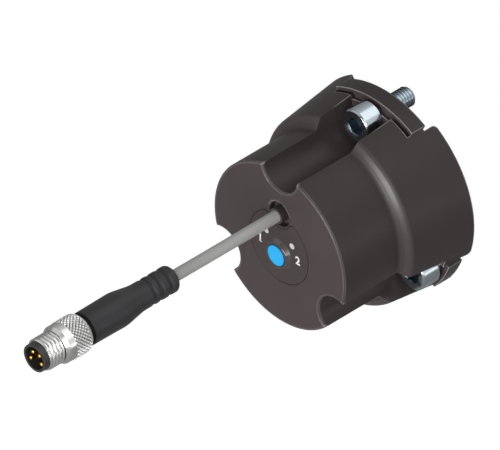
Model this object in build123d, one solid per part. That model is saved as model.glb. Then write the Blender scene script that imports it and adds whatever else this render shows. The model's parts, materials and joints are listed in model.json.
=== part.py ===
from build123d import *
import os
from math import cos, radians, sin, sqrt, tan

# Rotary position sensor for a quarter-turn drive: a moulded housing with three screw channels,
# a teach button and two status lights in its face, and a short cable with a screw plug.
# Millimetres. The rotor's axis is Y. The origin is the centre of the mounting plane, which is the
# rear face of the three ears. The face with the button looks towards -Y, and +Z is up.

# Housing, outside
face_depth = 33.9  # mounting plane to front face
front_radius = 21.1
shoulder_start = 17.1  # behind the front face
shoulder_length = 1.6
rear_front_radius = 23.8
rear_end_radius = 25.8
skirt_height = 2.3  # beyond the mounting plane
shoulder_inner_fillet = 1.0
shoulder_outer_fillet = 1.3
rim_fillet = 0.4
skirt_corner_fillet = 1.2

# Housing, the three screw channels and their ears; the top ear is the wide one
screw_circle = 42.2
top_angle = 90.0
screw_angles = (top_angle, -30.0, 210.0)
channel_radius = 5.55
channel_flare = 13.0  # degrees that each wall leans outwards
top_ear_half_angle = 28.3
side_ear_half_angle = 10.5
ear_thickness = 5.2  # mounting plane to the screw's seat
ear_gap_angle = 1.7  # gap at each side of an ear
ear_gap_depth = 0.8
ear_slot_width = 1.0
ear_slot_depth = 1.9

# Housing, inside
face_wall = 2.2
side_wall = 2.2
channel_wall = 1.6
cavity_corner = 1.0
ledge_width = 1.0
cover_ledge = 0.5  # the step under the inner cover, round the channels
recess_depth = 1.5  # mounting plane to the bearing plate
board_boss_radius = 2.0
board_boss_circle = 29.0
board_pin_radius = 0.8
board_pin_height = 0.75  # beyond the board
between_angles = (30.0, 150.0, 270.0)

# Every cut
cut_past = 1.0  # beyond the surface that it opens, so that no skin is left

# Mounting screws, M5 x 12 socket head
screw_radius = 2.5
screw_neck_radius = 2.2  # under the head, thinner than the thread, so that the ear keeps the screw
screw_length = 12.0
screw_head_radius = 4.25
screw_head_height = 5.0
screw_socket_flats = 4.0
screw_socket_depth = 2.5
screw_hole_radius = 2.75
screw_edge = 0.35

# Face inlay, lights and button
inlay_radius = 9.35
inlay_z = -0.3
inlay_thickness = 0.8
inlay_bite_radius = 3.8
inlay_corner = 1.2
inlay_gap = 0.15
light_x = 4.15
light_z = 2.2
light_radius = 0.75
light_flange_radius = 1.3
light_flange = 0.8
button_z = -2.2
button_radius = 2.83
button_gap = 0.08
button_hole_gap = 0.24
button_proud = 0.12
button_flange_radius = 3.9
button_flange = 0.75
button_travel = 0.35
collar_base_radius = 4.1
collar_top_radius = 3.25
collar_height = 0.9
collar_neck_radius = 3.6
collar_rounding = 0.27
seat_clearance = 0.03

# Circuit board and what it carries
board_thickness = 1.6
board_standoff = 3.0  # inside of the front wall to the board
board_edge_gap = 0.3
led_width = 1.6
led_depth = 0.9
led_height = 0.8
led_gap = 0.1
switch_width = 4.5
switch_corner = 0.4
switch_foot_length = 1.4
switch_foot_width = 0.7
switch_height = 1.5
switch_plunger_radius = 1.2
switch_gap = 0.05  # button to plunger when the button is pressed home
chip_width = 4.9
chip_height = 3.9
chip_thickness = 1.4
chip_standoff = 0.1
chip_leads_per_side = 4
chip_lead_pitch = 1.27
chip_lead_width = 0.4
chip_lead_reach = 1.05
chip_lead_thickness = 0.2

# Rotor, magnet and bearing
magnet_radius = 3.0
magnet_thickness = 2.5
journal_radius = 4.0
journal_gap = 0.05
well_wall = 1.25
well_end_wall = 0.8
well_end_gap = 0.3
chip_gap = 0.3  # angle chip to the inner cover's well
cover_thickness = 1.5
cover_edge_gap = 0.15
cover_rib_width = 1.2
cover_rib_length = 5.0
cover_rib_height = 5.0
collar_radius = 8.5
collar_thickness = 2.0
washer_thickness = 0.5
thrust_gap = 0.05
hub_radius = 6.0
hub_proud = 3.0  # rotor end beyond the bearing plate
bush_gap = 0.06
bush_radius = 8.0
bush_length = 4.5
seal_thickness = 1.6
seal_gap = 0.1
seal_lip = 0.4
seal_lip_radius = 7.0
socket_radius = 3.0
socket_depth = 8.0
key_width = 2.0
key_depth = 0.9

# Bearing plate, its gasket and screws
plate_thickness = 2.1
plate_gap = 0.15
plate_hub_radius = 10.2
gasket_thickness = 0.5
plate_screw_inset = 2.4  # from the pocket's wall
plate_screw_radius = 1.0
plate_screw_hole = 1.2
plate_screw_head_radius = 1.9
plate_screw_head = 1.2
plate_screw_length = 6.0
plate_boss_radius = 2.2
plate_boss_length = 6.6
plate_screw_slot = 0.5

# Cable and its bush
cable_radius = 1.45
cable_z = 9.0
cable_free = 32.6  # bush collar to plug
cable_in_plug = 8.0
cable_hole_radius = 3.15
bush_seat_depth = 3.6  # front face to the lip behind the bush
cable_lip_radius = 1.8
cable_lip = 1.3
cable_boss_wall = 1.55
cable_bush_gap = 0.05
cable_bush_depth = 1.6  # front face to the bush's own front
cable_collar_radius = 1.95
cable_collar_proud = 1.0
cable_board_hole = 2.4
cable_tail = 0.9  # jacket beyond the back of the board
wire_radius = 0.3
wire_offset = 0.6
wire_rise = 1.3
wire_bend = 0.8
wire_reach = 4.5

# Plug: contact carrier, pins, coupling nut, ring and moulded body, measured from its front end
carrier_radius = 3.45
carrier_head = 8.5
carrier_neck_radius = 2.8
carrier_tail = 4.5
carrier_mouth_radius = 2.85
carrier_mouth_depth = 4.5
pin_radius = 0.5
pin_tip_fillet = 0.3
pin_recess = 0.3
pin_tail = 11.0
pin_places = ((-1.08, 1.0), (1.08, 1.0), (-1.7, -1.0), (1.7, -1.0))
nut_start = 1.5
nut_gap = 0.06
nut_shoulder_gap = 0.08
nut_edge = 0.3
nut_thread_radius = 4.0
nut_thread_end = 6.1
nut_ring_start = 7.0
nut_ring_radius = 4.65
nut_grip_start = 9.3
nut_grip_end = 13.3
nut_grip_radius = 4.8
nut_end = 14.1
nut_end_radius = 4.2
stop_ring_start = 14.2
stop_ring_radius = 3.95
body_start = 15.2
body_front_radius = 4.12
body_rear_radius = 4.25
body_taper_start = 25.6
body_taper_end = 31.2
neck_radius = 3.3
groove_places = (34.5, 36.75, 39.5)
groove_radius = 0.65
groove_depth = 0.42
groove_lip_fillet = 0.4
body_end = 42.1
body_fillet = 0.4
body_taper_fillet = 12.0
body_end_fillet = 0.8

# Places along Y that follow from the sizes above
front_y = -face_depth
ear_front_y = -ear_thickness
ear_rim_y = ear_front_y + ear_slot_width
wall_inner_y = front_y + face_wall
shoulder_front_y = front_y + shoulder_start
shoulder_rear_y = shoulder_front_y + shoulder_length
cover_front_y = shoulder_rear_y + side_wall
plate_rear_y = -recess_depth
plate_front_y = plate_rear_y - plate_thickness
ledge_y = plate_front_y - gasket_thickness
board_front_y = wall_inner_y + board_standoff
board_rear_y = board_front_y + board_thickness
chip_rear_y = board_rear_y + chip_standoff + chip_thickness
well_front_y = chip_rear_y + chip_gap
rotor_front_y = well_front_y + well_end_wall + well_end_gap
seal_rear_y = plate_rear_y - seal_lip
bush_rear_y = seal_rear_y - seal_thickness
bush_front_y = bush_rear_y - bush_length
washer_rear_y = bush_front_y - thrust_gap
collar_rear_y = washer_rear_y - washer_thickness
rotor_rear_y = plate_rear_y + hub_proud
bush_collar_y = front_y - cable_collar_proud
cable_rear_y = board_rear_y + cable_tail
body_rear_y = bush_collar_y - cable_free
plug_front_y = body_rear_y - body_end

# Radii that follow
screw_centre = screw_circle / 2
front_cavity_radius = front_radius - side_wall
rear_cavity_radius = min(rear_front_radius, rear_end_radius) - side_wall
pocket_radius = rear_cavity_radius + ledge_width
ear_slot_radius = rear_end_radius - ear_slot_depth
plate_screw_circle = 2 * (pocket_radius - plate_screw_inset)
lobe_radius = channel_radius + channel_wall
front_lobe_radius = lobe_radius + cover_ledge
pocket_lobe_radius = lobe_radius - ledge_width


def polar(radius, angle):
    """A point of the XZ plane at a radius from the axis and an angle from +X."""
    return (radius * cos(radians(angle)), radius * sin(radians(angle)))


def turned(*points):
    """The solid that a closed outline of (radius, y) points makes when it turns about the Y axis."""
    return revolve(make_face(Polyline(*points, close=True)), axis=Axis.Y)


def slab(outline, start_y, end_y):
    """An outline drawn as (x, z), carried along Y from start_y to end_y."""
    plane = Plane(origin=(0, end_y, 0), x_dir=(1, 0, 0), z_dir=(0, -1, 0))
    return extrude(plane * outline, amount=end_y - start_y)


def at(x, z):
    """A place in an outline drawn as (x, z), or a solid's move in the XZ plane."""
    return Pos(x, z)


def moved(shape, x, z):
    """A solid made on the Y axis, moved to (x, z)."""
    return Pos(x, 0, z) * shape


def lobed(radius, lobe):
    """A disc with a round bay at each screw channel, its corners rounded as moulded ones are."""
    outline = Rot(0, 0, 90) * Circle(radius)
    for angle in screw_angles:
        outline -= at(*polar(screw_centre, angle)) * Circle(lobe)
    return fillet(outline.vertices(), cavity_corner)


def ring_sector(inner, outer, middle, half):
    """A piece of a flat ring, from middle - half to middle + half degrees."""
    start = middle - half
    inner_arc = CenterArc((0, 0), inner, start, 2 * half)
    outer_arc = CenterArc((0, 0), outer, start, 2 * half)
    first = Line(inner_arc @ 0, outer_arc @ 0)
    last = Line(inner_arc @ 1, outer_arc @ 1)
    return make_face([inner_arc, last, outer_arc, first])


def channel_outline():
    """The outline of the channel at angle 0: round at the bottom, its walls leaning outwards."""
    rise = channel_radius * sin(radians(channel_flare))
    half = channel_radius * cos(radians(channel_flare))
    reach = screw_centre + rear_end_radius
    spread = half + (rear_end_radius + rise) * tan(radians(channel_flare))
    start = screw_centre - rise
    walls = Polyline((start, -half), (reach, -spread), (reach, spread), (start, half), close=True)
    return at(screw_centre, 0) * Circle(channel_radius) + make_face(walls)


def make_housing_body():
    """The outside: a stepped and tapered round body, its channels, ears and three-part skirt."""
    outline = make_face(
        Polyline(
            (0, front_y),
            (front_radius, front_y),
            (front_radius, shoulder_front_y),
            (rear_front_radius, shoulder_rear_y),
            (rear_end_radius, skirt_height),
            (0, skirt_height),
            close=True,
        )
    )
    inner_corner = outline.vertices().sort_by_distance((front_radius, shoulder_front_y, 0))[0]
    outline = fillet(inner_corner, shoulder_inner_fillet)
    outer_corner = outline.vertices().sort_by_distance((rear_front_radius, shoulder_rear_y, 0))[0]
    outline = fillet(outer_corner, shoulder_outer_fillet)
    body = Rot(0, -90, 0) * revolve(outline, axis=Axis.Y)
    reach = 2 * rear_end_radius
    for angle in screw_angles:
        half = top_ear_half_angle if angle == top_angle else side_ear_half_angle
        body -= slab(Rot(0, 0, angle) * channel_outline(), front_y - cut_past, ear_front_y)
        notch = ring_sector(pocket_radius / 2, reach, angle, half + ear_gap_angle)
        body -= slab(notch, -ear_gap_depth, skirt_height + cut_past)
        slot = ring_sector(ear_slot_radius, reach, angle, half)
        body -= slab(slot, ear_front_y, ear_rim_y)
        rim = ring_sector(pocket_radius / 2, rear_end_radius, angle, half)
        body += slab(rim, ear_rim_y, 0)
    return body


def make_housing():
    """The whole moulding, with its two-step cavity, bosses, seats and holes."""
    body = make_housing_body()
    body = fillet(body.edges().group_by(Axis.Y)[0], rim_fillet)
    body -= slab(lobed(front_cavity_radius, front_lobe_radius), wall_inner_y, cover_front_y)
    body -= slab(lobed(rear_cavity_radius, lobe_radius), cover_front_y, ledge_y)
    body -= slab(lobed(pocket_radius, pocket_lobe_radius), ledge_y, 0)
    body -= slab(Rot(0, 0, 90) * Circle(pocket_radius), 0, skirt_height)
    body = fillet(body.edges().group_by(Axis.Y)[-1].filter_by(GeomType.LINE), skirt_corner_fillet)
    for angle in screw_angles:
        hole = at(*polar(screw_centre, angle)) * Circle(screw_hole_radius)
        body -= slab(hole, ear_front_y - cut_past, cut_past)
    for angle in between_angles:
        body += make_board_boss(angle)
        body += make_plate_boss(angle)
    body += slab(cable_boss_outline(), wall_inner_y, front_y + bush_seat_depth + cable_lip)
    body -= make_cable_hole()
    body -= make_face_seats()
    return body


def make_board_boss(angle):
    """A boss behind the face that the circuit board stands on, with the pin that holds it."""
    boss = turned(
        (0, wall_inner_y),
        (board_boss_radius, wall_inner_y),
        (board_boss_radius, board_front_y),
        (board_pin_radius, board_front_y),
        (board_pin_radius, board_rear_y + board_pin_height),
        (0, board_rear_y + board_pin_height),
    )
    return moved(boss, *polar(board_boss_circle / 2, angle))


def make_plate_boss(angle):
    """A boss on the rear wall for one screw of the bearing plate, webbed to the wall behind it."""
    web = pocket_radius - plate_screw_circle / 2
    outline = Circle(plate_boss_radius)
    outline += at(web / 2, 0) * Rectangle(web, 2 * plate_boss_radius)
    outline -= Circle(plate_screw_radius)
    placed = Rot(0, 0, angle) * at(plate_screw_circle / 2, 0) * outline
    return slab(placed, ledge_y - plate_boss_length, ledge_y)


def cable_boss_outline():
    """The outline of the boss round the cable bush."""
    return at(0, cable_z) * Circle(cable_hole_radius + cable_boss_wall)


def make_cable_hole():
    """What the cable hole takes out of the housing: the bush's seat, and the lip's smaller hole."""
    seat_y = front_y + bush_seat_depth
    end_y = seat_y + cable_lip + cut_past
    hole = turned(
        (0, front_y - cut_past),
        (cable_hole_radius + rim_fillet / 2, front_y - cut_past),
        (cable_hole_radius + rim_fillet / 2, front_y),
        (cable_hole_radius, front_y + rim_fillet / 2),
        (cable_hole_radius, seat_y),
        (cable_lip_radius, seat_y),
        (cable_lip_radius, end_y),
        (0, end_y),
    )
    return moved(hole, 0, cable_z)


def inlay_outline(grow):
    """A disc with a bite round the cable hole, made larger all round by grow."""
    outline = at(0, inlay_z) * Circle(inlay_radius + grow)
    outline -= at(0, cable_z) * Circle(inlay_bite_radius - grow)
    return fillet(outline.vertices(), inlay_corner)


def make_face_seats():
    """The inlay's pocket, and the holes for the button and the light guides behind it."""
    seats = slab(inlay_outline(inlay_gap), front_y - cut_past, front_y + inlay_thickness)
    button_hole = at(0, button_z) * Circle(button_radius + button_hole_gap)
    seats += slab(button_hole, front_y - cut_past, wall_inner_y + cut_past)
    for side in (-1, 1):
        hole = at(side * light_x, light_z) * Circle(light_radius + seat_clearance)
        seats += slab(hole, front_y - cut_past, wall_inner_y + cut_past)
    return seats


def make_inlay():
    """The flush disc in the face, with holes for the button's collar and the two lights."""
    outline = inlay_outline(0)
    outline -= at(0, button_z) * Circle(collar_neck_radius + seat_clearance)
    for side in (-1, 1):
        outline -= at(side * light_x, light_z) * Circle(light_radius + seat_clearance)
    return slab(outline, front_y, front_y + inlay_thickness)


def make_light_guide(side):
    """A clear pin from the face to just in front of its status light, with a flange inside."""
    pin = turned(
        (0, front_y),
        (light_radius, front_y),
        (light_radius, wall_inner_y),
        (light_flange_radius, wall_inner_y),
        (light_flange_radius, wall_inner_y + light_flange),
        (light_radius, wall_inner_y + light_flange),
        (light_radius, board_front_y - led_height - led_gap),
        (0, board_front_y - led_height - led_gap),
    )
    return moved(pin, side * light_x, light_z)


def make_button_collar():
    """The domed ring that guides the button, seated through the inlay on the front wall."""
    top_y = front_y - collar_height
    bore = button_radius + button_gap
    outline = make_face(
        Polyline(
            (bore, top_y),
            (collar_top_radius, top_y),
            (collar_base_radius, front_y),
            (collar_neck_radius, front_y),
            (collar_neck_radius, front_y + inlay_thickness),
            (bore, front_y + inlay_thickness),
            close=True,
        )
    )
    shoulder = outline.vertices().sort_by_distance((collar_top_radius, top_y, 0))[0]
    outline = fillet(shoulder, collar_rounding)
    return moved(revolve(outline, axis=Axis.Y), 0, button_z)


def make_teach_button():
    """The blue cap, with the flange behind the front wall that keeps it in."""
    top_y = front_y - collar_height - button_proud
    flange_y = wall_inner_y + thrust_gap
    outline = make_face(
        Polyline(
            (0, top_y),
            (button_radius, top_y),
            (button_radius, flange_y),
            (button_flange_radius, flange_y),
            (button_flange_radius, flange_y + button_flange),
            (0, flange_y + button_flange),
            close=True,
        )
    )
    rim = outline.vertices().sort_by_distance((button_radius, top_y, 0))[0]
    outline = fillet(rim, rim_fillet / 2)
    return moved(revolve(outline, axis=Axis.Y), 0, button_z)


def make_circuit_board():
    """The board behind the face, shaped to the cavity, with holes for the cable and the pins."""
    outline = lobed(front_cavity_radius - board_edge_gap, front_lobe_radius + board_edge_gap)
    outline -= at(0, cable_z) * Circle(cable_board_hole)
    for angle in between_angles:
        outline -= at(*polar(board_boss_circle / 2, angle)) * Circle(board_pin_radius + seat_clearance)
    return slab(outline, board_front_y, board_rear_y)


def make_status_leds():
    """The two status lights on the front of the board, behind their light guides."""
    leds = []
    for side in (-1, 1):
        base = at(side * light_x, light_z) * Rectangle(led_width, led_depth)
        lens = at(side * light_x, light_z) * Circle(led_depth / 2)
        chip = slab(base, board_front_y - led_height / 2, board_front_y)
        leds.append(chip + slab(lens, board_front_y - led_height, board_front_y - led_height / 2))
    return Compound(children=leds)


def make_tactile_switch():
    """The push switch behind the button: square case, round plunger and four terminals."""
    plunger_y = wall_inner_y + thrust_gap + button_flange + button_travel + switch_gap
    case = at(0, button_z) * RectangleRounded(switch_width, switch_width, switch_corner)
    switch = slab(case, board_front_y - switch_height, board_front_y)
    plunger = at(0, button_z) * Circle(switch_plunger_radius)
    switch += slab(plunger, plunger_y, board_front_y - switch_height)
    for side in (-1, 1):
        for height in (-1, 1):
            foot = Rectangle(switch_foot_length, switch_foot_width)
            placed = at(side * switch_width / 2, button_z + height * switch_width / 4) * foot
            switch += slab(placed, board_front_y - chip_lead_thickness, board_front_y)
    return switch


def make_angle_chip():
    """The magnetic angle chip on the back of the board, on the rotor's axis, with eight leads."""
    case_y = board_rear_y + chip_standoff
    chip = slab(Rectangle(chip_width, chip_height), case_y, chip_rear_y)
    middle_y = (case_y + chip_rear_y) / 2
    for index in range(chip_leads_per_side):
        for side in (-1, 1):
            inner = side * (chip_height / 2 - chip_lead_thickness)
            knee = side * (chip_height / 2 + chip_lead_reach / 3)
            toe = side * (chip_height / 2 + chip_lead_reach)
            lead = Polyline(
                (middle_y, inner), (middle_y, knee), (board_rear_y, knee), (board_rear_y, toe),
                (board_rear_y + chip_lead_thickness, toe),
                (board_rear_y + chip_lead_thickness, knee + side * chip_lead_thickness),
                (middle_y + chip_lead_thickness, knee + side * chip_lead_thickness),
                (middle_y + chip_lead_thickness, inner), close=True,
            )
            place = index - (chip_leads_per_side - 1) / 2
            start = place * chip_lead_pitch - chip_lead_width / 2
            plane = Plane(origin=(start, 0, 0), x_dir=(0, 1, 0), z_dir=(1, 0, 0))
            chip += extrude(plane * make_face(lead), amount=chip_lead_width)
    return chip


def make_inner_cover():
    """The hat-shaped cover: a lobed flange on the cavity's step, and a blind well for the rotor."""
    flange_rear = cover_front_y + cover_thickness
    bore = journal_radius + journal_gap
    outline = lobed(rear_cavity_radius - cover_edge_gap, lobe_radius + cover_edge_gap)
    cover = slab(outline, cover_front_y, flange_rear)
    cover += slab(Circle(bore + well_wall), well_front_y, flange_rear)
    for angle in range(0, 360, 60):
        reach = bore + well_wall + cover_rib_length
        rib = Plane.XY * make_face(
            Polyline(
                (bore + well_wall / 2, cover_front_y + cover_thickness / 2),
                (reach, cover_front_y + cover_thickness / 2),
                (reach, cover_front_y),
                (bore + well_wall, cover_front_y - cover_rib_height),
                (bore + well_wall / 2, cover_front_y - cover_rib_height),
                close=True,
            )
        )
        cover += Rot(0, angle, 0) * extrude(rib, amount=cover_rib_width / 2, both=True)
    return cover - slab(Circle(bore), well_front_y + well_end_wall, flange_rear + cut_past)


def make_rotor():
    """The magnet carrier: journal in the well, thrust collar, and the hub with its keyed socket."""
    rotor = turned(
        (0, rotor_front_y),
        (journal_radius, rotor_front_y),
        (journal_radius, collar_rear_y - collar_thickness),
        (collar_radius, collar_rear_y - collar_thickness),
        (collar_radius, collar_rear_y),
        (hub_radius, collar_rear_y),
        (hub_radius, rotor_rear_y),
        (0, rotor_rear_y),
    )
    rotor -= slab(Circle(magnet_radius), rotor_front_y - cut_past, rotor_front_y + magnet_thickness)
    rotor -= slab(Circle(socket_radius), rotor_rear_y - socket_depth, rotor_rear_y + cut_past)
    keyway = at(0, socket_radius / 2 + key_depth / 2) * Rectangle(key_width, socket_radius + key_depth)
    return rotor - slab(keyway, rotor_rear_y - socket_depth, rotor_rear_y + cut_past)


def make_magnet():
    """The round magnet in the rotor's front end."""
    return slab(Circle(magnet_radius), rotor_front_y, rotor_front_y + magnet_thickness)


def ring(inner, outer, start_y, end_y):
    """A plain ring about the Y axis."""
    return slab(Circle(outer) - Circle(inner), start_y, end_y)


def make_bearing_plate():
    """The plate that closes the back, with the hub that holds the bush and the seal."""
    outline = lobed(pocket_radius - plate_gap, pocket_lobe_radius + plate_gap)
    for angle in between_angles:
        outline -= at(*polar(plate_screw_circle / 2, angle)) * Circle(plate_screw_hole)
    plate = slab(outline, plate_front_y, plate_rear_y)
    plate += slab(Circle(plate_hub_radius), bush_front_y, plate_rear_y)
    plate -= slab(Circle(bush_radius), bush_front_y - cut_past, seal_rear_y)
    return plate - slab(Circle(seal_lip_radius), seal_rear_y - cut_past, plate_rear_y + cut_past)


def make_plate_gasket():
    """The flat gasket between the ledge and the bearing plate."""
    outline = lobed(pocket_radius - plate_gap, pocket_lobe_radius + plate_gap)
    outline -= lobed(rear_cavity_radius, lobe_radius)
    for angle in between_angles:
        outline -= at(*polar(plate_screw_circle / 2, angle)) * Circle(plate_screw_hole)
    return slab(outline, ledge_y, plate_front_y)


def make_plate_screws():
    """The three small screws of the bearing plate, pan headed and slotted."""
    screws = []
    tip_y = plate_rear_y - plate_screw_length
    head_y = plate_rear_y + plate_screw_head
    for angle in between_angles:
        screw = turned(
            (0, tip_y),
            (plate_screw_radius, tip_y),
            (plate_screw_radius, plate_rear_y),
            (plate_screw_head_radius, plate_rear_y),
            (plate_screw_head_radius, head_y),
            (0, head_y),
        )
        screw = fillet(screw.edges().sort_by(Axis.Y)[-1], plate_screw_head / 3)
        slot = Rectangle(3 * plate_screw_head_radius, plate_screw_slot)
        screw -= slab(slot, head_y - plate_screw_head / 2, head_y + cut_past)
        screws.append(moved(screw, *polar(plate_screw_circle / 2, angle)))
    return Compound(children=screws)


def make_mounting_screws():
    """The three socket head screws that fasten the ears, standing out of the back as studs."""
    screws = []
    head_y = ear_front_y - screw_head_height
    for angle in screw_angles:
        screw = turned(
            (0, head_y),
            (screw_head_radius - screw_edge, head_y),
            (screw_head_radius, head_y + screw_edge),
            (screw_head_radius, ear_front_y),
            (screw_neck_radius, ear_front_y),
            (screw_neck_radius, 0),
            (screw_radius, 0),
            (screw_radius, ear_front_y + screw_length - screw_edge),
            (screw_radius - screw_edge, ear_front_y + screw_length),
            (0, ear_front_y + screw_length),
        )
        socket = RegularPolygon(screw_socket_flats / 2, 6, major_radius=False)
        screw -= slab(socket, head_y - cut_past, head_y + screw_socket_depth)
        screws.append(moved(screw, *polar(screw_centre, angle)))
    return Compound(children=screws)


def make_cable_bush():
    """The soft bush in the cable hole, with the thin collar that reaches out along the cable."""
    body_y = front_y + cable_bush_depth
    seat_y = front_y + bush_seat_depth
    bush = turned(
        (cable_radius, bush_collar_y),
        (cable_collar_radius, bush_collar_y),
        (cable_collar_radius, body_y),
        (cable_hole_radius - cable_bush_gap, body_y),
        (cable_hole_radius - cable_bush_gap, seat_y),
        (cable_radius, seat_y),
    )
    return moved(bush, 0, cable_z)


def make_cable():
    """The cable's jacket, straight from inside the plug to behind the circuit board."""
    start_y = body_rear_y - cable_in_plug
    print("cable: one straight run, no bend; free length", cable_free, "mm")
    return slab(at(0, cable_z) * Circle(cable_radius), start_y, cable_rear_y)


def make_lead_wires():
    """The four wires from the cut end of the jacket over to the back of the board."""
    wires = []
    for side in (-1, 1):
        for height in (-1, 1):
            near = side * wire_offset
            far = side * wire_reach
            z = cable_z + height * wire_offset
            top_y = cable_rear_y + wire_rise
            path = FilletPolyline(
                (near, cable_rear_y, z), (near, top_y, z), (far, top_y, z), (far, board_rear_y, z),
                radius=wire_bend,
            )
            start = Plane(origin=(near, cable_rear_y, z), x_dir=(1, 0, 0), z_dir=(0, 1, 0))
            wires.append(sweep(start * Circle(wire_radius), path=path))
    return Compound(children=wires)


def on_plug(shape):
    """A solid made with the plug's front end at y = 0, moved to the plug's place."""
    return Pos(0, plug_front_y, cable_z) * shape


def make_contact_carrier():
    """The insulating insert: open mouth round the pins, head that the nut pushes on, and tail."""
    carrier = turned(
        (0, carrier_mouth_depth),
        (carrier_mouth_radius, carrier_mouth_depth),
        (carrier_mouth_radius, 0),
        (carrier_radius, 0),
        (carrier_radius, carrier_head),
        (carrier_neck_radius, carrier_head),
        (carrier_neck_radius, body_start + carrier_tail),
        (0, body_start + carrier_tail),
    )
    for x, z in pin_places:
        carrier -= slab(at(x, z) * Circle(pin_radius), carrier_mouth_depth - cut_past, pin_tail)
    return on_plug(carrier)


def make_contact_pins():
    """The four round pins, set in the carrier, their tips rounded."""
    pins = []
    for x, z in pin_places:
        pin = slab(at(x, z) * Circle(pin_radius), pin_recess, pin_tail)
        tip = pin.edges().filter_by(GeomType.CIRCLE).sort_by(Axis.Y)[0]
        pins.append(on_plug(fillet(tip, pin_tip_fillet)))
    return Compound(children=pins)


def make_coupling_nut():
    """The turning screw sleeve: thread, smooth shoulder, and the grip that the knurl is cut on."""
    neck_bore = carrier_neck_radius + nut_gap
    step_y = carrier_head + nut_shoulder_gap
    nut = turned(
        (carrier_radius + nut_gap, nut_start),
        (nut_thread_radius - nut_edge, nut_start),
        (nut_thread_radius, nut_start + nut_edge),
        (nut_thread_radius, nut_thread_end),
        (nut_ring_radius, nut_ring_start),
        (nut_ring_radius, nut_grip_start),
        (nut_grip_radius, nut_grip_start + (nut_grip_radius - nut_ring_radius)),
        (nut_grip_radius, nut_grip_end),
        (nut_end_radius, nut_end),
        (neck_bore, nut_end),
        (neck_bore, step_y),
        (carrier_radius + nut_gap, step_y),
    )
    return on_plug(nut)


def make_stop_ring():
    """The black ring on the carrier's neck that stops the nut in front of the moulded body."""
    return on_plug(ring(carrier_neck_radius, stop_ring_radius, stop_ring_start, body_start))


def make_plug_body():
    """The moulded body: round grip, taper, and a neck that three soft grooves part into rings."""
    outline = make_face(
        Polyline(
            (0, body_start),
            (body_front_radius, body_start),
            (body_rear_radius, body_taper_start),
            (neck_radius, body_taper_end),
            (neck_radius, body_end),
            (0, body_end),
            close=True,
        )
    )
    roundings = (
        (body_front_radius, body_start, body_fillet),
        (body_rear_radius, body_taper_start, body_taper_fillet),
        (neck_radius, body_taper_end, body_taper_fillet),
        (neck_radius, body_end, body_end_fillet),
    )
    for radius, y, size in roundings:
        corner = outline.vertices().sort_by_distance((radius, y, 0))[0]
        outline = fillet(corner, size)
    centre_radius = neck_radius + groove_radius - groove_depth
    half_width = sqrt(groove_radius**2 - (centre_radius - neck_radius) ** 2)
    for place in groove_places:
        outline -= Pos(centre_radius, place) * Circle(groove_radius)
        for lip_y in (place - half_width, place + half_width):
            lip = outline.vertices().sort_by_distance((neck_radius, lip_y, 0))[0]
            outline = fillet(lip, groove_lip_fillet)
    body = revolve(outline, axis=Axis.Y)
    body -= slab(Circle(carrier_neck_radius), body_start - cut_past, body_start + carrier_tail)
    body -= slab(Circle(cable_radius), body_end - cable_in_plug, body_end + cut_past)
    return on_plug(body)


parts = {
    "housing": make_housing(),
    "inlay_disc": make_inlay(),
    "light_guide_1": make_light_guide(-1),
    "light_guide_2": make_light_guide(1),
    "button_collar": make_button_collar(),
    "teach_button": make_teach_button(),
    "circuit_board": make_circuit_board(),
    "status_leds": make_status_leds(),
    "tactile_switch": make_tactile_switch(),
    "angle_chip": make_angle_chip(),
    "inner_cover": make_inner_cover(),
    "rotor": make_rotor(),
    "magnet": make_magnet(),
    "thrust_washer": ring(hub_radius + bush_gap, collar_radius, collar_rear_y, washer_rear_y),
    "rotor_bush": ring(hub_radius + bush_gap, bush_radius, bush_front_y, bush_rear_y),
    "shaft_seal": ring(hub_radius + seal_gap, bush_radius, bush_rear_y, seal_rear_y),
    "bearing_plate": make_bearing_plate(),
    "plate_gasket": make_plate_gasket(),
    "plate_screws": make_plate_screws(),
    "mounting_screws": make_mounting_screws(),
    "cable_bush": make_cable_bush(),
    "cable": make_cable(),
    "lead_wires": make_lead_wires(),
    "contact_carrier": make_contact_carrier(),
    "contact_pins": make_contact_pins(),
    "coupling_nut": make_coupling_nut(),
    "stop_ring": make_stop_ring(),
    "plug_body": make_plug_body(),
}

os.makedirs("parts", exist_ok=True)
for name, shape in parts.items():
    export_step(shape, f"parts/{name}.step")
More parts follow.
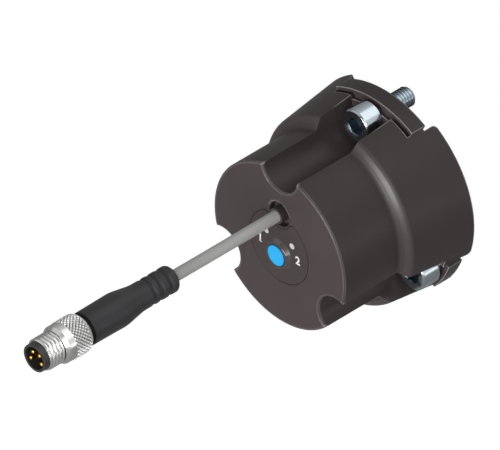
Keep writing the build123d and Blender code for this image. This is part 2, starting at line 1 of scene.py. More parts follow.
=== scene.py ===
import bmesh
import bpy
import json
import math
import numpy as np
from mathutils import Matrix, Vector


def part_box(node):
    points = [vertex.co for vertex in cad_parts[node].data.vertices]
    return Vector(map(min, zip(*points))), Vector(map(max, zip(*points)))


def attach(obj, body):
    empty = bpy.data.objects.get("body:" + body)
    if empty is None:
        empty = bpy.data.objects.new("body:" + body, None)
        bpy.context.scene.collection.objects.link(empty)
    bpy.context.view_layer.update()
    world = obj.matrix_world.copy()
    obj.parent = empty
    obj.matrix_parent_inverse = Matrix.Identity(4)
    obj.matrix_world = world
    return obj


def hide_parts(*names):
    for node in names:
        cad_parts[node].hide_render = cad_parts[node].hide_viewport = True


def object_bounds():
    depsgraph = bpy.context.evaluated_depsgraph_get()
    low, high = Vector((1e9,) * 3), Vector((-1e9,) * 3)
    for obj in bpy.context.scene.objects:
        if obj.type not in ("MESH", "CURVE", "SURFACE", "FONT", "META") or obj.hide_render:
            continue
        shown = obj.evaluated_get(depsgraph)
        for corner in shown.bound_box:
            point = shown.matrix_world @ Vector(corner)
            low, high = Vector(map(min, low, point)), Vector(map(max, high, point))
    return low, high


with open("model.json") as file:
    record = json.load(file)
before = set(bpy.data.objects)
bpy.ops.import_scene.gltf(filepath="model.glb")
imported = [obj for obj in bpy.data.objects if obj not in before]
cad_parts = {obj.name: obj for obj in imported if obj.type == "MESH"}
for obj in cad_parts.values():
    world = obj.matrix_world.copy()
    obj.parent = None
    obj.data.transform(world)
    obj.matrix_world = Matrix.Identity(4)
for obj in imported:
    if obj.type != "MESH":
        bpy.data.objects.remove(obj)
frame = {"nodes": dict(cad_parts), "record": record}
cad_low, cad_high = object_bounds()
nodes = frame["nodes"]

# Camera. The picture looks down on the face from its right, through a lens so long that lines along
# the axis stay parallel. The face's centre and the picture's scale place the frame.
view_azimuth, view_elevation = math.radians(46.0), math.radians(37.6)
picture_width, picture_height = 500, 450
pixels_per_metre = 4450
face_pixel = (279, 246)
lens_mm, sensor_mm = 1400, 36
face_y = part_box("housing")[0][1]
camera_right = Vector((math.cos(view_azimuth), math.sin(view_azimuth), 0))
camera_look = Vector((
    -math.sin(view_azimuth) * math.cos(view_elevation),
    math.cos(view_azimuth) * math.cos(view_elevation),
    -math.sin(view_elevation),
))
camera_up = camera_right.cross(camera_look)
aim = Vector((0, face_y, 0))
aim = aim - camera_right * ((face_pixel[0] - picture_width / 2) / pixels_per_metre)
aim = aim + camera_up * ((face_pixel[1] - picture_height / 2) / pixels_per_metre)
camera_distance = picture_width / pixels_per_metre * lens_mm / sensor_mm
camera = bpy.data.objects.new("camera", bpy.data.cameras.new("camera"))
camera.data.lens, camera.data.sensor_width = lens_mm, sensor_mm
camera.location = aim - camera_look * camera_distance
camera.rotation_euler = camera_look.to_track_quat("-Z", "Y").to_euler()
bpy.context.scene.collection.objects.link(camera)
bpy.context.scene.camera = camera


# Cable: a round four-wire cable, its polyurethane jacket extruded in satin light grey. It leaves the
# bush in the face, runs straight to the plug that is moulded on it, and ends behind the board.
def linear(code):
    """An sRGB hex colour as linear light: c / 12.92 up to 0.04045, else ((c + 0.055) / 1.055) ** 2.4."""
    srgb = np.array([int(code[start:start + 2], 16) for start in (1, 3, 5)]) / 255
    light = np.where(srgb <= 0.04045, srgb / 12.92, ((srgb + 0.055) / 1.055) ** 2.4)
    return (*light, 1.0)


def add_node(tree, kind, settings, links=None):
    """A node of that kind. Each setting is one of its properties or one of its input sockets."""
    node = tree.nodes.new(kind)
    for name, value in settings.items():
        if isinstance(name, str) and hasattr(node, name):
            setattr(node, name, value)
        else:
            node.inputs[name].default_value = value
    for name, source in (links or {}).items():
        tree.links.new(source, node.inputs[name])
    return node


def new_material(name, colour, roughness, settings=None):
    """A material whose one shader has that sRGB colour, roughness and other sockets."""
    made = bpy.data.materials.new(name)
    made.use_nodes = True
    made.diffuse_color = linear(colour)
    shader = made.node_tree.nodes["Principled BSDF"]
    shader.inputs["Base Color"].default_value = linear(colour)
    shader.inputs["Roughness"].default_value = roughness
    for socket, value in (settings or {}).items():
        shader.inputs[socket].default_value = value
    return made, made.node_tree, shader


def patches(tree, width, detail, stretch):
    """Noise from 0 to 1 over the object, as a socket. Its patches are width metres wide, it has that much
    finer detail, and stretch scales the place along each axis."""
    place = add_node(tree, "ShaderNodeTexCoord", {})
    turn = add_node(tree, "ShaderNodeMapping", {"Scale": stretch}, {"Vector": place.outputs["Object"]})
    noise = add_node(
        tree, "ShaderNodeTexNoise", {"Scale": 1 / width, "Detail": detail},
        {"Vector": turn.outputs["Vector"]},
    )
    return noise.outputs["Fac"]


def vary_colour(tree, shader, dark, pale, patch, stretch=(1, 1, 1)):
    """Soft patches between two near colours; patch is their width in metres."""
    mix = add_node(
        tree, "ShaderNodeMix", {"data_type": "RGBA", 6: linear(dark), 7: linear(pale)},
        {0: patches(tree, patch, 3.0, stretch)},
    )
    tree.links.new(mix.outputs[2], shader.inputs["Base Color"])


def grain(tree, shader, width, depth, stretch=(1, 1, 1), edge=None):
    """A fine uneven surface as bump: width of its grains and their depth in metres. The socket edge,
    where given, is the radius in metres to which arrises look rounded."""
    bump = add_node(
        tree, "ShaderNodeBump", {"Distance": depth}, {"Height": patches(tree, width, 2.0, stretch)}
    )
    if edge:
        rounded = add_node(tree, "ShaderNodeBevel", {"samples": 8}, {"Radius": edge})
        tree.links.new(rounded.outputs["Normal"], bump.inputs["Normal"])
    tree.links.new(bump.outputs["Normal"], shader.inputs["Normal"])


def vary_roughness(tree, shader, low, high, patch):
    """Roughness that drifts between low and high over patches of that width in metres."""
    noise_low, noise_high = 0.3, 0.7
    spread = add_node(
        tree, "ShaderNodeMapRange",
        {"From Min": noise_low, "From Max": noise_high, "To Min": low, "To Max": high},
        {"Value": patches(tree, patch, 4.0, (1, 1, 1))},
    )
    tree.links.new(spread.outputs["Result"], shader.inputs["Roughness"])


def change_roughness(tree, shader, share, roughness):
    """The roughness, varied so far, goes over to that value as far as the socket share says."""
    mix = add_node(
        tree, "ShaderNodeMix", {3: roughness},
        {0: share, 2: shader.inputs["Roughness"].links[0].from_socket},
    )
    tree.links.new(mix.outputs[0], shader.inputs["Roughness"])


# Polyurethane, extruded: the eye gets a soft sheen along the cable and faint lines from the die.
jacket, tree, shader = new_material("polyurethane_extruded", "#C6C6C4", 0.42)
along_the_cable = (1, 0.05, 1)
vary_colour(tree, shader, "#C0C0BF", "#CCCCCA", 0.0006, along_the_cable)
grain(tree, shader, 0.00025, 0.000012, along_the_cable)

cable_low, cable_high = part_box("cable")
cable_diameter = cable_high[0] - cable_low[0]
cable_height = (cable_low[2] + cable_high[2]) / 2
cable_sag, sag_start, sag_end = 0.0001, -0.062, -0.044
route = [
    (0, cable_low[1], cable_height),
    (0, sag_start, cable_height - cable_sag),
    (0, sag_end, cable_height - cable_sag),
    (0, cable_high[1], cable_height),
]
cable_line = bpy.data.curves.new("cable_jacket", "CURVE")
cable_line.dimensions = "3D"
cable_line.bevel_depth = cable_diameter / 2
cable_line.bevel_resolution = 12
cable_line.use_fill_caps = True
spline = cable_line.splines.new("NURBS")
spline.points.add(len(route) - 1)
for point, place in zip(spline.points, route):
    point.co = (*place, 1)
spline.order_u = 3
spline.use_endpoint_u = True
spline.resolution_u = 24
cable_line.materials.append(jacket)
cable = bpy.data.objects.new("cable_jacket", cable_line)
bpy.context.scene.collection.objects.link(cable)
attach(cable, "sensor")
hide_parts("cable")


# Housing: one moulding in glass-filled polyester, dark brown-grey, with the screw channels, ears and
# skirt in one shot. The same plastic makes the plate that closes its back, which small screws hold.
def dress(material, *names):
    """The CAD pieces of those names take the material in every slot."""
    for name in names:
        for place in nodes[name].material_slots:
            place.material = material


def paint_edge_highlights(tree, shader, pale, width, where):
    """Convex arrises take the pale colour, a painted highlight, as far as the socket where allows: where a
    normal rounded over the socket width turns from the true one, by their dot product, and the surface
    isn't in a corner. It gives back the node with that share."""
    straight, turned = 0.985, 0.87
    closed, clear, corner_reach = 0.6, 0.8, 0.0012
    rounded = add_node(tree, "ShaderNodeBevel", {"samples": 8}, {"Radius": width})
    geometry = add_node(tree, "ShaderNodeNewGeometry", {})
    turned_by = add_node(
        tree, "ShaderNodeVectorMath", {"operation": "DOT_PRODUCT"},
        {0: rounded.outputs["Normal"], 1: geometry.outputs["Normal"]},
    )
    bent = add_node(
        tree, "ShaderNodeMapRange", {"From Min": straight, "From Max": turned},
        {"Value": turned_by.outputs["Value"]},
    )
    corner = add_node(
        tree, "ShaderNodeAmbientOcclusion", {"samples": 6, "only_local": True, "Distance": corner_reach}
    )
    is_open = add_node(
        tree, "ShaderNodeMapRange", {"From Min": closed, "From Max": clear},
        {"Value": corner.outputs["AO"]},
    )
    share = add_node(
        tree, "ShaderNodeMath", {"operation": "MULTIPLY"},
        {0: bent.outputs["Result"], 1: is_open.outputs["Result"]},
    )
    share = add_node(
        tree, "ShaderNodeMath", {"operation": "MULTIPLY"}, {0: share.outputs["Value"], 1: where}
    )
    mix = add_node(
        tree, "ShaderNodeMix", {"data_type": "RGBA", 7: linear(pale)}, {0: share.outputs["Value"]},
    )
    tree.links.new(shader.inputs["Base Color"].links[0].from_socket, mix.inputs[6])
    tree.links.new(mix.outputs[2], shader.inputs["Base Color"])
    return share


# Polyester, moulded: the spark-eroded mould leaves a fine matt grain that spreads each highlight. A pale
# colour is painted along the rounded arrises as a highlight. The real grain is about 0.1 mm wide; it is
# drawn at 0.2 mm so that it shows.
polyester, tree, shader = new_material("polyester_moulded", "#453D3D", 0.36)
vary_colour(tree, shader, "#423A3A", "#484040", 0.009)
# The painted highlight goes only on the face's rim and the ears, not on the seam round the inlay nor the
# long channel edges.
rim_reach, rim_fade = face_y + 0.0006, 0.0008
ear_reach, ear_fade = -0.0085, 0.003
inlay_low, inlay_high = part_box("inlay_disc")
inlay_margin = 0.0006
inlay_reach = (inlay_high[0] - inlay_low[0]) / 2 + inlay_margin
place = add_node(tree, "ShaderNodeTexCoord", {})
axes = add_node(tree, "ShaderNodeSeparateXYZ", {}, {"Vector": place.outputs["Object"]})
at_rim = add_node(
    tree, "ShaderNodeMapRange", {"From Min": rim_reach + rim_fade, "From Max": rim_reach},
    {"Value": axes.outputs["Y"]},
)
at_ears = add_node(
    tree, "ShaderNodeMapRange", {"From Min": ear_reach - ear_fade, "From Max": ear_reach},
    {"Value": axes.outputs["Y"]},
)
either = add_node(
    tree, "ShaderNodeMath", {"operation": "MAXIMUM"},
    {0: at_rim.outputs["Result"], 1: at_ears.outputs["Result"]},
)
level = add_node(tree, "ShaderNodeMapping", {"Scale": (1, 0, 1)}, {"Vector": place.outputs["Object"]})
reach = add_node(tree, "ShaderNodeVectorMath", {"operation": "LENGTH"}, {0: level.outputs["Vector"]})
outside = add_node(
    tree, "ShaderNodeMapRange", {"From Min": inlay_reach, "From Max": inlay_reach + rim_fade},
    {"Value": reach.outputs["Value"]},
)
highlight_place = add_node(
    tree, "ShaderNodeMath", {"operation": "MULTIPLY"},
    {0: either.outputs["Value"], 1: outside.outputs["Result"]},
)
# The face's rim is rounded further than the other arrises, which are only broken, and its painted
# highlight is wider.
rim_only = add_node(
    tree, "ShaderNodeMath", {"operation": "MULTIPLY"},
    {0: at_rim.outputs["Result"], 1: outside.outputs["Result"]},
)
ear_highlight_width, rim_highlight_width = 0.0005, 0.0011
highlight_width = add_node(
    tree, "ShaderNodeMapRange", {"To Min": ear_highlight_width, "To Max": rim_highlight_width},
    {"Value": rim_only.outputs["Value"]},
)
# The pale colour #9A9493 is a painted highlight along the rim and the ears' arrises.
share = paint_edge_highlights(tree, shader, "#9A9493", highlight_width.outputs["Result"], highlight_place.outputs["Value"])
# The rim under the painted highlight and the shoulder are smoother than the rest and shine more. The
# shoulder's band lies between two distances from the face and stops at the channels.
shoulder_front, shoulder_back, shoulder_fade = face_y + 0.0179, face_y + 0.0193, 0.0003
from_front = add_node(
    tree, "ShaderNodeMapRange", {"From Min": shoulder_front - shoulder_fade, "From Max": shoulder_front},
    {"Value": axes.outputs["Y"]},
)
to_back = add_node(
    tree, "ShaderNodeMapRange", {"From Min": shoulder_back, "From Max": shoulder_back - shoulder_fade},
    {"Value": axes.outputs["Y"]},
)
shoulder = add_node(
    tree, "ShaderNodeMath", {"operation": "MULTIPLY"},
    {0: from_front.outputs["Result"], 1: to_back.outputs["Result"]},
)
channel_reach, channel_fade = 0.0218, 0.0006
past_channel = add_node(
    tree, "ShaderNodeMapRange", {"From Min": channel_reach, "From Max": channel_reach + channel_fade},
    {"Value": reach.outputs["Value"]},
)
shoulder = add_node(
    tree, "ShaderNodeMath", {"operation": "MULTIPLY"},
    {0: shoulder.outputs["Value"], 1: past_channel.outputs["Result"]},
)
shoulder_share = 0.22
shoulder = add_node(
    tree, "ShaderNodeMath", {"operation": "MULTIPLY", 1: shoulder_share}, {0: shoulder.outputs["Value"]}
)
smooth = add_node(
    tree, "ShaderNodeMath", {"operation": "MAXIMUM"},
    {0: share.outputs["Value"], 1: shoulder.outputs["Value"]},
)
matt_shine, smooth_shine, smooth_roughness = 0.2, 0.9, 0.26
shine = add_node(
    tree, "ShaderNodeMapRange", {"To Min": matt_shine, "To Max": smooth_shine},
    {"Value": smooth.outputs["Value"]},
)
tree.links.new(shine.outputs["Result"], shader.inputs["Specular IOR Level"])
vary_roughness(tree, shader, 0.33, 0.4, 0.004)
change_roughness(tree, shader, smooth.outputs["Value"], smooth_roughness)
fine_edge, rim_edge = 0.00012, 0.001
edge_radius = add_node(
    tree, "ShaderNodeMapRange", {"To Min": fine_edge, "To Max": rim_edge},
    {"Value": rim_only.outputs["Value"]},
)
grain(tree, shader, 0.0002, 0.000012, edge=edge_radius.outputs["Result"])
dress(polyester, "housing", "bearing_plate")

# Inlay: a flush disc in the face with the holes for the button and the lights, moulded in the same
# plastic with a smoother grain, and pressed into its pocket. White numbers are printed on it.
satin = {"Specular IOR Level": 0.2}
smooth_polyester, tree, shader = new_material("polyester_satin", "#433B3B", 0.36, satin)
vary_colour(tree, shader, "#403939", "#463D3D", 0.006)
grain(tree, shader, 0.00015, 0.000006)
dress(smooth_polyester, "inlay_disc", "inner_cover")

# Numbers: a 1 and a 2 beside the two lights, pad printed on the inlay in white ink. The ink is an opaque
# film, a little uneven where the pad lifted off.
ink, tree, shader = new_material("ink_pad_printed", "#E6E6E4", 0.5)
vary_colour(tree, shader, "#DCDCDA", "#EEEEEC", 0.0004)
digit_height, digit_side, digit_level = 0.00225, 0.00605, -0.00085
stroke_offset, half_extrusion, ink_thickness = 0.03, 0.5, 0.00002
# The 1 stands on a short foot, which the font lacks.
foot_reach, foot_height, foot_shift = 0.00048, 0.00026, 0.000096
for digit, side in (("1", -1), ("2", 1)):
    text = bpy.data.curves.new("number_" + digit, "FONT")
    text.body = digit
    text.align_x, text.align_y = "CENTER", "CENTER"
    text.offset, text.extrude = stroke_offset, half_extrusion
    holder = bpy.data.objects.new("number_" + digit, text)
    bpy.context.scene.collection.objects.link(holder)
    shapes = bpy.context.evaluated_depsgraph_get()
    mesh = bpy.data.meshes.new_from_object(holder.evaluated_get(shapes))
    bpy.data.objects.remove(holder)
    points = np.zeros(len(mesh.vertices) * 3)
    mesh.vertices.foreach_get("co", points)
    across, up, out = points.reshape(-1, 3).T
    size = digit_height / (up.max() - up.min())
    placed = np.stack([
        side * digit_side + (across - (across.max() + across.min()) / 2) * size,
        face_y - (out + half_extrusion) * ink_thickness,
        digit_level + (up - (up.max() + up.min()) / 2) * size,
    ], axis=1)
    mesh.vertices.foreach_set("co", placed.ravel())
    if digit == "1":
        foot_place = (
            side * digit_side + foot_shift,
            face_y - ink_thickness / 2,
            digit_level - digit_height / 2 + foot_height / 2,
        )
        shell = bmesh.new()
        shell.from_mesh(mesh)
        foot = bmesh.ops.create_cube(shell, size=1)["verts"]
        bmesh.ops.scale(shell, verts=foot, vec=(2 * foot_reach, ink_thickness, foot_height))
        bmesh.ops.translate(shell, verts=foot, vec=foot_place)
        shell.to_mesh(mesh)
        shell.free()
    mesh.materials.clear()
    mesh.materials.append(ink)
    number = bpy.data.objects.new("number_" + digit, mesh)
    bpy.context.scene.collection.objects.link(number)
    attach(number, "sensor")

# Lights: two milky pins of clear polycarbonate with a diffusing agent, polished at the face. They
# snap in from behind and lead the light of the board's two diodes to the face.
cloudy = {"Subsurface Weight": 0.15, "Subsurface Scale": 0.0005}
milky, tree, shader = new_material("polycarbonate_milky", "#CFCBCA", 0.22, cloudy)
vary_colour(tree, shader, "#C8C4C3", "#D6D3D2", 0.0008)
dress(milky, "light_guide_1", "light_guide_2", "status_leds")

# Button: a blue cap in a dark domed ring. The cap is moulded in polycarbonate and polished; its rounded
# edge is painted a deeper blue as shade where it turns away. The ring is pressed into the inlay.
cap, tree, shader = new_material("polycarbonate_blue", "#2EACEA", 0.34, {"Specular IOR Level": 0.3})
button_low, button_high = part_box("teach_button")
button_radius, edge_shade_from, edge_shade_to = 0.00283, 0.85, 0.94
button_level = (button_low[2] + button_high[2]) / 2
place = add_node(tree, "ShaderNodeTexCoord", {})
centred = add_node(
    tree, "ShaderNodeMapping", {"Location": (0, 0, -button_level), "Scale": (1, 0, 1)},
    {"Vector": place.outputs["Object"]},
)
reach = add_node(tree, "ShaderNodeVectorMath", {"operation": "LENGTH"}, {0: centred.outputs["Vector"]})
edge_shade = add_node(
    tree, "ShaderNodeMapRange",
    {"From Min": button_radius * edge_shade_from, "From Max": button_radius * edge_shade_to},
    {"Value": reach.outputs["Value"]},
)
# The dark blue #164A6E towards the edge is painted shade on the cap's rounded edge.
mix = add_node(
    tree, "ShaderNodeMix", {"data_type": "RGBA", 6: linear("#2EACEA"), 7: linear("#164A6E")},
    {0: edge_shade.outputs["Result"]},
)
tree.links.new(mix.outputs[2], shader.inputs["Base Color"])
grain(tree, shader, 0.0004, 0.000003)
dress(cap, "teach_button")
domed, tree, shader = new_material("polyester_polished", "#453E3C", 0.2, {"Specular IOR Level": 0.9})
vary_roughness(tree, shader, 0.16, 0.24, 0.0015)
dress(domed, "button_collar")

# Inside: the circuit board with its switch, angle chip, wires and diodes. None of it shows while the
# housing is closed; glass-epoxy board under green lacquer, and parts moulded in black epoxy.
board, tree, shader = new_material("epoxy_board_lacquered", "#1F6B3A", 0.35)
vary_colour(tree, shader, "#1B6135", "#24753F", 0.002)
grain(tree, shader, 0.0004, 0.000008)
dress(board, "circuit_board")
epoxy, tree, shader = new_material("epoxy_moulded", "#232325", 0.5)
vary_colour(tree, shader, "#1F1F21", "#28282A", 0.0008)
grain(tree, shader, 0.0001, 0.000006)
dress(epoxy, "tactile_switch", "angle_chip")
wire, tree, shader = new_material("vinyl_extruded", "#8A4A24", 0.4)
vary_colour(tree, shader, "#804420", "#935128", 0.001)
dress(wire, "lead_wires")
magnet, tree, shader = new_material("nickel_on_magnet", "#B9B6AE", 0.28, {"Metallic": 1.0})
vary_roughness(tree, shader, 0.22, 0.35, 0.0008)
dress(magnet, "magnet")

# Cable bush and seals: soft rubber, moulded. The bush sits deep in the cable hole with its collar
# round the cable, the seal sits round the rotor, and the gasket lies under the bearing plate.
rubber, tree, shader = new_material("nitrile_rubber_moulded", "#403837", 0.55)
vary_colour(tree, shader, "#3B3332", "#453D3C", 0.0015)
grain(tree, shader, 0.00025, 0.00001)
dress(rubber, "cable_bush")
matt = {"Specular IOR Level": 0.1}
black_rubber_and_gap_shade, tree, shader = new_material("nitrile_rubber_black", "#121111", 0.6, matt)
vary_colour(tree, shader, "#0F0E0E", "#161515", 0.0015)
grain(tree, shader, 0.0003, 0.00001)
# The stop ring between the nut and the plug body is drawn in this near black as painted shade in the gap
# there.
dress(black_rubber_and_gap_shade, "shaft_seal", "plate_gasket", "stop_ring")

# Rotor and bearing: the rotor is turned from aluminium and runs in a bush of sintered bronze behind a
# steel washer. The drive's shaft end with its key goes into its socket.
turned_aluminium, tree, shader = new_material("aluminium_turned", "#C4C5C7", 0.3, {"Metallic": 1.0})
place = add_node(tree, "ShaderNodeTexCoord", {})
# Turning leaves fine rings, 0.1 mm apart on the real one and drawn 0.25 mm apart so that they show.
# The wave node makes a ring every 2 pi / wave_rate of its own unit.
ring_gap, ring_depth, wave_rate = 0.00025, 0.000006, 20
ring_scale = 2 * math.pi / wave_rate / ring_gap
flat = add_node(tree, "ShaderNodeMapping", {"Scale": (1, 0, 1)}, {"Vector": place.outputs["Object"]})
rings = add_node(
    tree, "ShaderNodeTexWave",
    {"wave_type": "RINGS", "rings_direction": "SPHERICAL", "Scale": ring_scale},
    {"Vector": flat.outputs["Vector"]},
)
bump = add_node(tree, "ShaderNodeBump", {"Distance": ring_depth}, {"Height": rings.outputs["Fac"]})
tree.links.new(bump.outputs["Normal"], shader.inputs["Normal"])
dress(turned_aluminium, "rotor")
sintered, tree, shader = new_material("bronze_sintered", "#B08A58", 0.45, {"Metallic": 1.0})
vary_colour(tree, shader, "#957347", "#BE9866", 0.0003)
grain(tree, shader, 0.0002, 0.00002)
dress(sintered, "rotor_bush")


# Screws: three M5 socket head cap screws, cold headed, with rolled threads, zinc plated and blue
# passivated. Each head stands at the bottom of its channel and the thread comes out behind the ear.
def round_grid(along, radius, columns):
    """Rows of points round the Y axis: for columns equal angles a, x = r cos a, y = along, z = r sin a."""
    angle = np.arange(columns) * 2 * np.pi / columns
    along, radius, angle = np.broadcast_arrays(along, radius, angle[None, :])
    return np.stack([radius * np.cos(angle), along, radius * np.sin(angle)], axis=-1)


def round_faces(rows, columns, shift=0):
    """Four-sided faces of a grid that closes on itself; its last column joins the first, shift rows on."""
    row, column = np.meshgrid(np.arange(rows - 1), np.arange(columns), indexing="ij")
    following = (column + 1) % columns
    step = np.where(following == 0, shift, 0)
    near = np.minimum(row + step, rows - 1)
    far = np.minimum(row + 1 + step, rows - 1)
    corners = [row * columns + column, near * columns + following,
               far * columns + following, (row + 1) * columns + column]
    return np.stack(corners, axis=-1).reshape(-1, 4)


def rounded(profile, radius):
    """A profile of (along, radius) corners, each inner one replaced by a parabola that touches both runs:
    (1 - u)^2 A + 2 u (1 - u) P + u^2 C, where A and C lie on the runs, radius away from the corner P but
    never past longest_cut of a run. A point just before A and one just after C keep the runs flat."""
    steps, longest_cut, hold_share = 5, 0.4, 0.1
    profile = np.array(profile, float)
    runs = np.diff(profile, axis=0)
    lengths = np.linalg.norm(runs, axis=1, keepdims=True)
    ways = runs / lengths
    cut = np.minimum(radius, longest_cut * np.minimum(lengths[:-1], lengths[1:]))
    corner = profile[1:-1, None, :]
    before = corner - (cut * ways[:-1])[:, None, :]
    after = corner + (cut * ways[1:])[:, None, :]
    u = np.linspace(0, 1, steps)[None, :, None]
    curve = (1 - u) ** 2 * before + 2 * u * (1 - u) * corner + u ** 2 * after
    hold = hold_share * cut[:, None, :]
    lead_in = before - hold * ways[:-1][:, None, :]
    lead_out = after + hold * ways[1:][:, None, :]
    inner = np.concatenate([lead_in, curve, lead_out], axis=1).reshape(-1, 2)
    return np.concatenate([profile[:1], inner, profile[-1:]])


def thread_grid(radius, pitch, depth, start, end, columns, chamfers):
    """A thread along Y. Row i keeps the phase i / 16 of a turn of the helix: along = start + pitch *
    (i / 16 - 1 + a / turn), kept between start and end. The radius falls from a flat crest of 2 / 16
    of the pitch down a straight flank of 5 / 16 to a flat root of 4 / 16 and back. It stays under a
    chamfer at each end, which begins at the root and rises by chamfers[0] or chamfers[1] per length."""
    samples = 16
    rows = int(np.ceil((end - start) / pitch + 1)) * samples + 1
    phase = (np.arange(rows) % samples)[:, None]
    angle = np.arange(columns)[None, :] / columns
    along = start + pitch * (np.arange(rows)[:, None] / samples - 1 + angle)
    along = np.clip(along, start, end)
    groove = np.interp(phase, [0, 2, 7, 11, 16], [0, 0, 1, 1, 0])
    profile = radius - depth * groove
    rise = radius - depth + chamfers[0] * (along - start)
    fall = radius - depth + chamfers[1] * (end - along)
    profile = np.minimum(profile, np.minimum(rise, fall))
    return round_grid(along, profile, columns), round_faces(rows, columns, samples)


def turned_grid(profile, columns):
    """The surface that a profile of (along, radius) points makes when it turns about the Y axis."""
    along, radius = np.array(profile).T
    return round_grid(along[:, None], radius[:, None], columns), round_faces(len(along), columns)


def make_piece(name, grids, material, sharp_degrees=35):
    """One object from several grids. Equal points are merged, which closes poles and joins the grids,
    faces are turned outwards, and edges sharper than sharp_degrees stay sharp."""
    same_point = 5e-7
    starts = np.cumsum([0] + [points.reshape(-1, 3).shape[0] for points, faces in grids])
    points = np.concatenate([points.reshape(-1, 3) for points, faces in grids])
    faces = [face for (_, some), start in zip(grids, starts) for face in (some + start).tolist()]
    mesh = bpy.data.meshes.new(name)
    mesh.from_pydata(points.tolist(), [], faces)
    shell = bmesh.new()
    shell.from_mesh(mesh)
    bmesh.ops.remove_doubles(shell, verts=shell.verts, dist=same_point)
    bmesh.ops.recalc_face_normals(shell, faces=shell.faces)
    shell.to_mesh(mesh)
    shell.free()
    mesh.polygons.foreach_set("use_smooth", np.ones(len(mesh.polygons), bool))
    mesh.set_sharp_from_angle(angle=math.radians(sharp_degrees))
    mesh.materials.append(material)
    piece = bpy.data.objects.new(name, mesh)
    bpy.context.scene.collection.objects.link(piece)
    return piece


def paint_groove_shade(tree, shader, dark):
    """Painted shade in the grooves: where pointiness falls below the 0.5 of a flat, the colour goes over
    to the dark one."""
    groove_bottom, flat = 0.42, 0.5
    colour = shader.inputs["Base Color"]
    geometry = add_node(tree, "ShaderNodeNewGeometry", {})
    in_groove = add_node(
        tree, "ShaderNodeMapRange", {"From Min": flat, "From Max": groove_bottom},
        {"Value": geometry.outputs["Pointiness"]},
    )
    mix = add_node(
        tree, "ShaderNodeMix", {"data_type": "RGBA", 6: colour.default_value[:], 7: linear(dark)},
        {0: in_groove.outputs["Result"]},
    )
    for link in list(colour.links):
        tree.links.new(link.from_socket, mix.inputs[6])
    tree.links.new(mix.outputs[2], colour)


# Steel, zinc plated: a bright bluish metal whose plating spreads the reflections a little.
zinc, tree, shader = new_material("steel_zinc_plated", "#B4BFC6", 0.2, {"Metallic": 1.0})
vary_colour(tree, shader, "#AEBAC1", "#BAC4CA", 0.002)
# The thread's grooves are painted darker as shade.
paint_groove_shade(tree, shader, "#3A4248")
vary_roughness(tree, shader, 0.16, 0.22, 0.0015)
grain(tree, shader, 0.0004, 0.0000012)
dress(zinc, "plate_screws", "thrust_washer")
studs = next(mount for mount in frame["record"]["mounts"] if mount["name"] == "drive_studs")
stud_circle = studs["dims"]["pcd_mm"] / 1000
screw_radius = studs["dims"]["stud_r_mm"] / 1000
screw_low, screw_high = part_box("mounting_screws")
head_y, tip_y = screw_low[1], screw_high[1]
head_radius, head_height, head_edge, head_rounding = 0.00425, 0.005, 0.00035, 0.00012
neck_radius = 0.0022
# The hexagon is broached into a drilled hole, so its bottom has a rim and the drill's cone.
socket_flats, socket_depth = 0.004, 0.0025
socket_mouth, mouth_spread = 0.00024, 0.00006
drill_depth, drill_share, bottom_share = 0.0011, 0.7, 0.97
screw_pitch, screw_thread_depth, screw_chamfers = 0.0008, 0.00049, (1, 1)
screw_columns = 72
seat_y = head_y + head_height
angle = np.arange(screw_columns) * 2 * np.pi / screw_columns
hexagon = socket_flats / 2 / np.cos(angle % (np.pi / 3) - np.pi / 6)
hexagon_corner = socket_flats / 2 / math.cos(math.pi / 6)
mouth_radius = hexagon_corner + mouth_spread
socket_along = head_y + socket_depth + np.array(
    [drill_depth, 0.0, 0.0, 0.0, socket_mouth - socket_depth, -socket_depth]
)
socket_radius = np.stack([
    0 * hexagon, drill_share * hexagon, bottom_share * hexagon, hexagon, hexagon,
    np.full(screw_columns, mouth_radius),
])
socket = (round_grid(socket_along[:, None], socket_radius, screw_columns),
          round_faces(len(socket_along), screw_columns))
head_profile = rounded([
    (head_y, mouth_radius),
    (head_y, head_radius - head_edge),
    (head_y + head_edge, head_radius),
    (seat_y, head_radius),
    (seat_y, neck_radius),
], head_rounding)
thread_root = screw_radius - screw_thread_depth
neck_profile = [(seat_y, neck_radius), (0, neck_radius), (0, thread_root)]
tip_profile = [(tip_y, thread_root), (tip_y, 0)]
screw_grids = [
    socket,
    turned_grid(head_profile, screw_columns),
    turned_grid(neck_profile, screw_columns),
    thread_grid(screw_radius, screw_pitch, screw_thread_depth, 0, tip_y, screw_columns, screw_chamfers),
    turned_grid(tip_profile, screw_columns),
]
screw_degrees = (90, -30, 210)
screw_places = []
for degrees in screw_degrees:
    turn = math.radians(degrees)
    way = np.array([math.cos(turn), 0, math.sin(turn)])
    screw_places.append(stud_circle / 2 * way)
all_grids = [(points + place, faces) for place in screw_places for points, faces in screw_grids]
screws = make_piece("socket_head_screws", all_grids, zinc)
# Steel, broached: the sockets' walls are rough beside the plated outside, and their colour is painted
# darker as shade in the deep socket. Their faces lie inside the hexagon's corners and deeper than
# socket_from.
socket_shade_steel, tree, shader = new_material("steel_broached_painted_shade", "#5D6A75", 0.38, {"Metallic": 1.0})
vary_colour(tree, shader, "#525E69", "#697682", 0.0006)
grain(tree, shader, 0.0003, 0.000006)
screws.data.materials.append(socket_shade_steel)
socket_from = 0.00005
middles = np.zeros(len(screws.data.polygons) * 3)
screws.data.polygons.foreach_get("center", middles)
middles = middles.reshape(-1, 3)
out = np.min([np.hypot(*(middles - place)[:, ::2].T) for place in screw_places], axis=0)
deep = middles[:, 1] - head_y
in_socket = (out < hexagon_corner) & (deep > socket_from) & (deep < head_height)
screws.data.polygons.foreach_set("material_index", in_socket.astype(np.int32))
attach(screws, "sensor")
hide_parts("mounting_screws")

